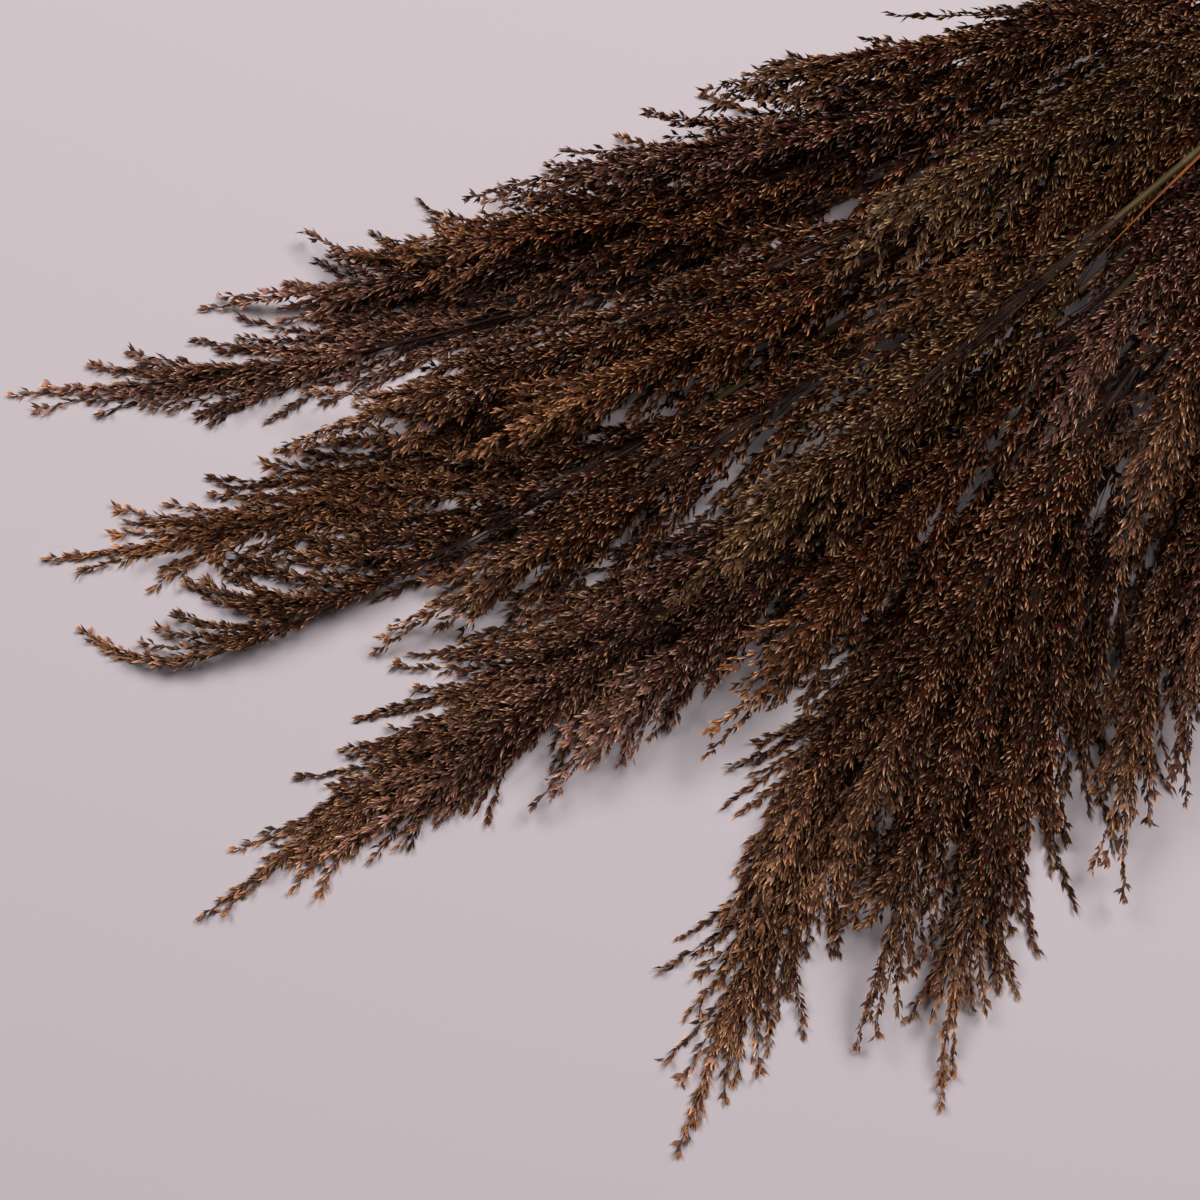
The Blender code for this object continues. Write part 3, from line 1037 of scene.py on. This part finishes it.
# %% Stem finish
stem_finish, tree, shader = new_material("dry_reed_stem", 0.5, 0.12)
along = value_of(tree, "along")
tone = value_of(tree, "tone")
green, height = fibre_colours(tree, (0.050, 0.032, 0.012), (0.100, 0.066, 0.026))
straw, _ = fibre_colours(tree, (0.130, 0.095, 0.042), (0.290, 0.220, 0.110))
sheathed = mix_colours(tree, step_between(tree, tone, 0.15, 0.9), green, straw)
bare_end = mix_colours(tree, step_between(tree, along, 0.63, 0.66), sheathed, green)
to_joint = step_between(tree, along, 0.10, 0.015)
jointed = mix_colours(tree, to_joint, bare_end, (0.095, 0.036, 0.036))
ringed = mix_colours(tree, step_between(tree, along, 0.012, 0.004), jointed, (0.045, 0.026, 0.020))
pith = mix_colours(tree, step_between(tree, along, -0.2, -0.6), ringed, (0.42, 0.34, 0.20))
satin = step_between(tree, tone, 0.0, 1.0, 0.38, 0.62)
link(tree, (pith, shader.inputs["Base Color"]), (satin, shader.inputs["Roughness"]))
add_bump(tree, shader, height, 0.35, 0.0002)

# %% Stems
STEM_RADIUS_AT_CUT = 0.0026
STEM_RADIUS_AT_PLUME = 0.0020
JOINT_SPACING = 0.125
FIRST_JOINT = (0.030, 0.095)
JOINT_OVERLAP = 1.02
CUT_OVERLAP = 1.04
# The finish reads these marks as bare stem and as pith, which is all that lies near the axis
BARE_MARK = 0.8
PITH_MARK = -1.0
PITH_RADIUS = 0.8


def build_stem(node, random):
    points, length = stem_paths[node]
    sheaf = Sheaf()
    first = random.uniform(*FIRST_JOINT)
    joints = max(2, round((length - first) / JOINT_SPACING))
    spacing = (length - first) / joints
    starts = [0.0] + [first + spacing * k for k in range(joints)]
    for number, start in enumerate(starts):
        corners, triangles = joint_length if number else cut_length
        reach = spacing * JOINT_OVERLAP if number else first * CUT_OVERLAP
        radius = STEM_RADIUS_AT_CUT + (STEM_RADIUS_AT_PLUME - STEM_RADIUS_AT_CUT) * start / length
        straight = corners * (reach, radius, radius)
        turn = np.array(Matrix.Rotation(random.uniform(0, math.pi), 3, "X"))
        near_axis = np.hypot(corners[:, 1], corners[:, 2]) < PITH_RADIUS
        along = corners[:, 0] if number else np.where(near_axis, PITH_MARK, BARE_MARK)
        bent = bend(straight @ turn, points, TOWARDS_Y, start, length)
        straight[:, 0] += start + 10 * number
        sheaf.add(bent, triangles, along=along, tone=random.random(), straight=straight)
    piece = make_mesh(node.replace("stem", "reed_stem"), sheaf, (stem_finish,), math.radians(30))
    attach(piece, "root")
    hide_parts(node)
    return piece


stems = [build_stem(node, np.random.default_rng(300 + number)) for number, node in enumerate(stem_nodes)]
print("stems:", sum(len(stem.data.polygons) for stem in stems), "triangles")

# %% [markdown]
# ## Leaf blades
#
# Three dry blades are left on the reeds. A dry blade rolls in along its midrib and narrows to a
# thread. It is modelled flat as a grid, narrowed and folded, given its thickness by Solidify, and
# then bent along the middle of its solid.

# %% Leaf blades
BLADE_STEPS = 28
BLADE_HALF_WIDTH = 0.0015
BLADE_FOLD = 0.55
BLADE_THICKNESS = 0.0003
BLADE_TWIST = 1.2


def model_blade(random):
    """A folded blade, 1 long, along +X from its sheath."""
    bpy.ops.mesh.primitive_grid_add(
        x_subdivisions=BLADE_STEPS, y_subdivisions=4, size=1, location=(0.5, 0, 0)
    )
    blade = bpy.context.object
    bpy.ops.object.transform_apply(location=True, rotation=False, scale=False)
    phase = random.uniform(0, 6.0)
    for vertex in blade.data.vertices:
        x, y = vertex.co.x, 2 * vertex.co.y
        width = BLADE_HALF_WIDTH * (1 - 0.93 * x**1.6) * (0.75 + 0.25 * min(1.0, 8 * x))
        ripple = 0.12 * math.sin(19 * x + phase + 2 * y) * abs(y)
        vertex.co.y = y * width
        vertex.co.z = (BLADE_FOLD * abs(y) ** 1.4 + ripple - 0.3) * width
    thick = blade.modifiers.new("thickness", "SOLIDIFY")
    thick.thickness = BLADE_THICKNESS
    thick.offset = 0
    bpy.context.view_layer.objects.active = blade
    bpy.ops.object.modifier_apply(modifier=thick.name)
    return blade


def leaf_finish(name, dark, light):
    material, tree, shader = new_material(name, 0.6, 0.15)
    colour, height = fibre_colours(tree, dark, light, 0.8)
    link(tree, (colour, shader.inputs["Base Color"]))
    add_bump(tree, shader, height, 0.4, 0.0002)
    return material


LEAF_FINISHES = {
    "leaf_blade_1": leaf_finish("straw_leaf", (0.16, 0.105, 0.040), (0.34, 0.25, 0.115)),
    "leaf_blade_2": leaf_finish("orange_leaf", (0.15, 0.038, 0.007), (0.30, 0.085, 0.015)),
    "leaf_blade_3": leaf_finish("olive_leaf", (0.11, 0.090, 0.030), (0.24, 0.20, 0.085)),
}
for number, node in enumerate(leaf_nodes):
    random = np.random.default_rng(500 + number)
    path = smooth_through(ring_middles(node), 40)
    length = run_of(path)[-1]
    corners, triangles = take_mesh(model_blade(random))
    straight = corners * (length, 1, 1)
    twist = (0.2 + 1.1 * corners[:, 0]) * random.uniform(-BLADE_TWIST, BLADE_TWIST)
    x, y, z = straight.T
    cos, sin = np.cos(twist), np.sin(twist)
    turned = np.stack([x, y * cos - z * sin, y * sin + z * cos], axis=1)
    sheaf = Sheaf()
    sheaf.add(bend(turned, path, TOWARDS_Y, 0, length), triangles, straight=straight)
    name = node.replace("leaf_blade", "dry_leaf")
    blade = make_mesh(name, sheaf, (LEAF_FINISHES[node],), math.radians(40))
    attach(blade, "root")
    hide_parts(node)
    print(blade.name, len(blade.data.polygons), "faces,", round(length, 3), "m long")

# %% [markdown]
# ## The rubber band
#
# The band is one closed loop of flat rubber, wound three times round the stems. Its turns lie side
# by side, and the last crosses over the others on top to meet the first. A short length of flat
# strip is modelled, an Array repeats it into a straight strip, and the strip is bent along the loop.

# %% Band model
BAND_TURNS = 3
STRIP_WIDTH = 0.0023
STRIP_THICKNESS = 0.0015
STRIP_STEPS = 168
STRIP_SINK = 0.55 * STRIP_THICKNESS
# Between two flat sides of an octagon whose corners are 1 apart
OCTAGON_WIDTH = 0.924
CROSSING_SHARE = 0.10
CROSSING_TURN = math.radians(125)
CROSSING_HEIGHT = 1.05 * STRIP_THICKNESS
BAND_WAYS = 64


def model_strip(length):
    """A straight strip along +X, with rounded edges and open ends."""
    step = length / STRIP_STEPS
    bpy.ops.mesh.primitive_cylinder_add(vertices=8, radius=0.5, depth=step, end_fill_type="NOTHING")
    strip = bpy.context.object
    strip.data.transform(Matrix.Rotation(math.radians(22.5), 4, "Z"))
    strip.data.transform(Matrix.Rotation(math.pi / 2, 4, "Y"))
    for vertex in strip.data.vertices:
        vertex.co.x += 0.5 * step
        vertex.co.y *= STRIP_WIDTH / OCTAGON_WIDTH
        vertex.co.z *= STRIP_THICKNESS / OCTAGON_WIDTH
    row = strip.modifiers.new("row", "ARRAY")
    row.count = STRIP_STEPS
    row.use_merge_vertices = True
    row.merge_threshold = 0.00002
    bpy.ops.object.modifier_apply(modifier=row.name)
    return strip


def band_loop(count):
    """Points along the middle of the strip, from the outline of the frame's band."""
    corners = corners_of("rubber_band")
    middle = (corners.min(axis=0) + corners.max(axis=0)) / 2
    ways = np.arange(BAND_WAYS) * 2 * math.pi / BAND_WAYS
    normals = np.stack([np.cos(ways), np.sin(ways)])
    reaches = ((corners[:, 1:] - middle[1:]) @ normals).max(axis=0) - STRIP_SINK
    t = np.linspace(0, 1, count)
    turn = CROSSING_TURN + 2 * math.pi * BAND_TURNS * t
    facing = np.maximum(np.cos(turn[:, None] - ways), 0.05)
    radius = (reaches / facing).min(axis=1)
    wound = 1 - CROSSING_SHARE
    crossing = np.clip((t - wound) / CROSSING_SHARE, 0, 1)
    half = (band_high[0] - band_low[0] - STRIP_WIDTH) / 2
    x = np.where(t < wound, 2 * t / wound - 1, 1 - 2 * crossing**2 * (3 - 2 * crossing)) * half
    radius = radius + CROSSING_HEIGHT * np.sin(math.pi * crossing) ** 0.6
    return middle + np.stack([x, radius * np.cos(turn), radius * np.sin(turn)], axis=1)


# %% Rubber finish
rubber_finish, tree, shader = new_material("tan_rubber", 0.5, 0.4)
places = object_places(tree)
bloom = noise(tree, places, 260, 3.0)
grain = noise(tree, places, 2600, 2.0)
bloomed = step_between(tree, bloom, 0.35, 0.7)
rubber_colour = mix_colours(tree, bloomed, (0.37, 0.215, 0.085), (0.50, 0.345, 0.180))
dulled = step_between(tree, bloom, 0.3, 0.7, 0.42, 0.68)
link(tree, (rubber_colour, shader.inputs["Base Color"]), (dulled, shader.inputs["Roughness"]))
add_bump(tree, shader, grain, 0.25, 0.0001)

# %% Rubber band
LOOP_POINTS = STRIP_STEPS * 2 + 1
SEAM_GAP = 0.0005
loop = band_loop(LOOP_POINTS)
loop_length = run_of(loop)[-1]
corners, triangles = take_mesh(model_strip(loop_length))
even = stretch_of(loop, 0, loop_length, LOOP_POINTS)
sheaf = Sheaf()
sheaf.add(bend(corners, even, np.array((1.0, 0, 0)), 0, loop_length), triangles)
band = make_mesh("wound_rubber_band", sheaf, (rubber_finish,), math.radians(60))
edit = bmesh.new()
edit.from_mesh(band.data)
bmesh.ops.remove_doubles(edit, verts=edit.verts, dist=SEAM_GAP)
bmesh.ops.recalc_face_normals(edit, faces=edit.faces)
edit.to_mesh(band.data)
open_edges = sum(edge.is_boundary for edge in edit.edges)
print("rubber band:", len(edit.faces), "faces, open edges:", open_edges)
edit.free()
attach(band, "root")
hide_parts("rubber_band")
